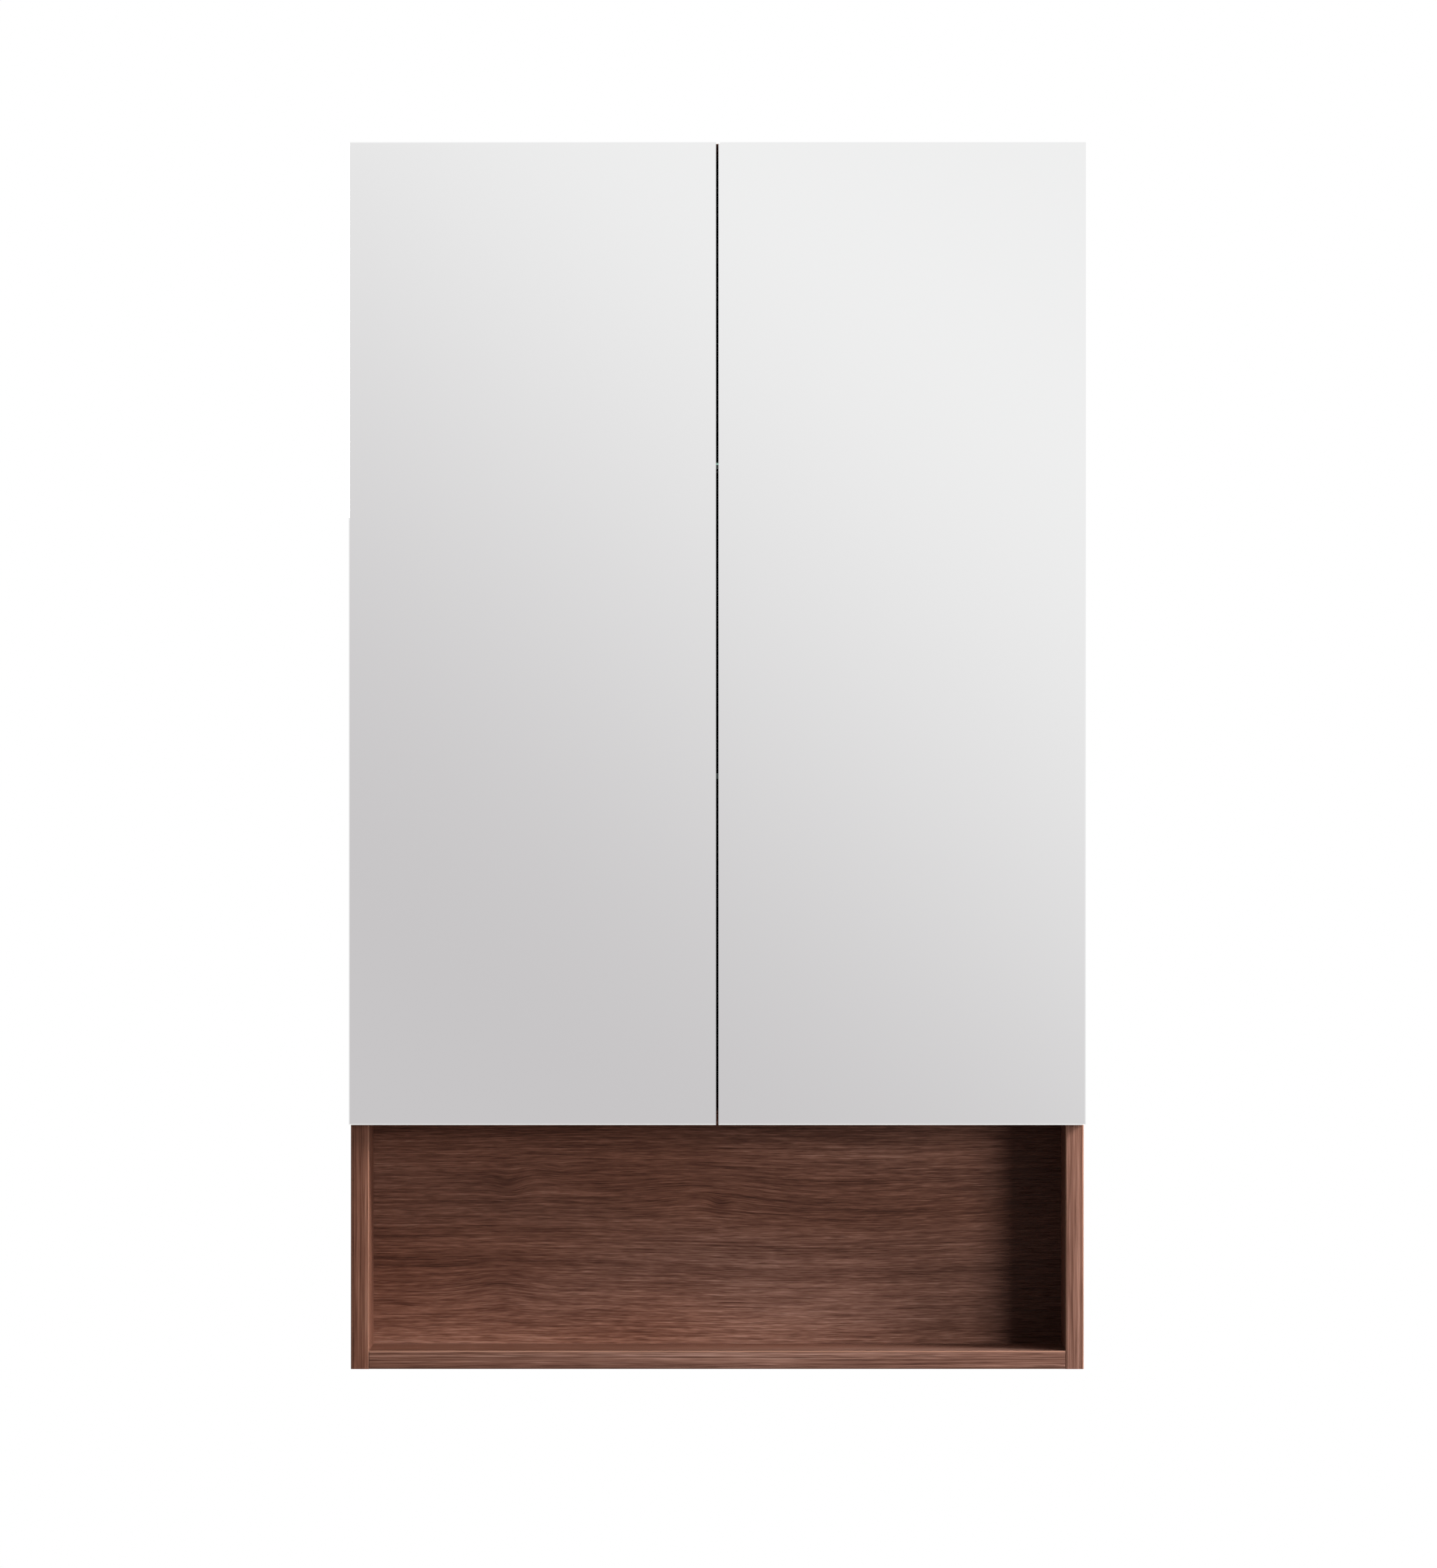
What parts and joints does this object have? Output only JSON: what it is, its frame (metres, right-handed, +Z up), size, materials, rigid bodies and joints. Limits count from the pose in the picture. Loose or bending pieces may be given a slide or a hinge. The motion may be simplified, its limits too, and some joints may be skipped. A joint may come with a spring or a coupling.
{
  "type": "mirror cabinet",
  "caption": "Wall-hung cabinet with mirror doors on concealed hinges, glass shelves inside and an open niche below the doors.",
  "frame": {"origin": "middle of the bounding box's bottom face: below the middle of the cabinet, at its bottom face", "axes": "+X to the right seen from the front, +Y to the wall, +Z up"},
  "size_m": [0.6, 0.15, 1],
  "materials": {
    "walnut_board": "walnut veneer with fine dark pores, matt lacquer",
    "walnut_edging": "walnut edge band with rounded, worn arrises",
    "rail_board": "plain sanded chipboard",
    "door_board": "walnut laminate on the back and edges of the doors",
    "mirror_glass": "silvered float glass with polished arrises",
    "shelf_glass": "clear float glass with polished greenish edges",
    "nickel_steel": "pressed steel, nickel plated",
    "screw_steel": "zinc plated steel",
    "zinc_cam": "die-cast zinc",
    "clear_rubber": "translucent soft silicone",
    "beech": "fluted beech dowel"
  },
  "bodies": {
    "carcass": {"left_side_panel": "walnut_board", "right_side_panel": "walnut_board", "bottom_panel": "walnut_board", "niche_shelf": "walnut_board", "top_panel": "walnut_board", "back_panel": "walnut_board", "upper_hanging_rail": "rail_board", "lower_hanging_rail": "rail_board", "left_edging": "walnut_edging", "right_edging": "walnut_edging", "bottom_edging": "walnut_edging", "niche_edging": "walnut_edging", "top_edging": "walnut_edging", "lower_glass_shelf": "shelf_glass", "upper_glass_shelf": "shelf_glass", "shelf_pins": "nickel_steel", "door_bumpers": "clear_rubber", "dowels": "beech", "cam_bolts": "screw_steel", "cam_locks": "zinc_cam", "rail_screws": "screw_steel", "left_hinge_arms": "nickel_steel", "left_arm_pins": "screw_steel", "left_arm_screws": "screw_steel", "left_mounting_plates": "nickel_steel", "left_plate_screws": "screw_steel", "right_hinge_arms": "nickel_steel", "right_arm_pins": "screw_steel", "right_arm_screws": "screw_steel", "right_mounting_plates": "nickel_steel", "right_plate_screws": "screw_steel"},
    "left_outer_links": {"left_outer_links": "nickel_steel"},
    "left_inner_links": {"left_inner_links": "nickel_steel"},
    "left_door": {"left_door_board": "door_board", "left_mirror": "mirror_glass", "left_hinge_cups": "nickel_steel", "left_cup_pins": "screw_steel", "left_cup_screws": "screw_steel"},
    "right_outer_links": {"right_outer_links": "nickel_steel"},
    "right_inner_links": {"right_inner_links": "nickel_steel"},
    "right_door": {"right_door_board": "door_board", "right_mirror": "mirror_glass", "right_hinge_cups": "nickel_steel", "right_cup_pins": "screw_steel", "right_cup_screws": "screw_steel"}
  },
  "joints": [
    {"name": "left_outer_link_pivot", "type": "hinge", "parent": "carcass", "child": "left_outer_links", "pos_m": [-0.2698, -0.0488, 0.6], "axis": [0, 0, 1], "range_deg": [0, 34.1]},
    {"name": "left_door_swing", "type": "hinge", "parent": "left_outer_links", "child": "left_door", "pos_m": [-0.2895, -0.059, 0.6], "axis": [0, 0, -1], "range_deg": [0, 129]},
    {"name": "left_inner_link_pivot", "type": "hinge", "parent": "carcass", "child": "left_inner_links", "pos_m": [-0.2641, -0.062, 0.6], "axis": [0, 0, 1], "range_deg": [0, 43.8]},
    {"name": "right_outer_link_pivot", "type": "hinge", "parent": "carcass", "child": "right_outer_links", "pos_m": [0.2698, -0.0488, 0.6], "axis": [0, 0, -1], "range_deg": [0, 34.1]},
    {"name": "right_door_swing", "type": "hinge", "parent": "right_outer_links", "child": "right_door", "pos_m": [0.2895, -0.059, 0.6], "axis": [0, 0, 1], "range_deg": [0, 129]},
    {"name": "right_inner_link_pivot", "type": "hinge", "parent": "carcass", "child": "right_inner_links", "pos_m": [0.2641, -0.062, 0.6], "axis": [0, 0, -1], "range_deg": [0, 43.8]}
  ],
  "couplings": [
    {"joint": "left_outer_link_pivot", "follows": "left_door_swing", "ratio": 0.26362},
    {"joint": "left_inner_link_pivot", "follows": "left_door_swing", "ratio": 0.33873},
    {"joint": "right_outer_link_pivot", "follows": "right_door_swing", "ratio": 0.26362},
    {"joint": "right_inner_link_pivot", "follows": "right_door_swing", "ratio": 0.33873}
  ]
}
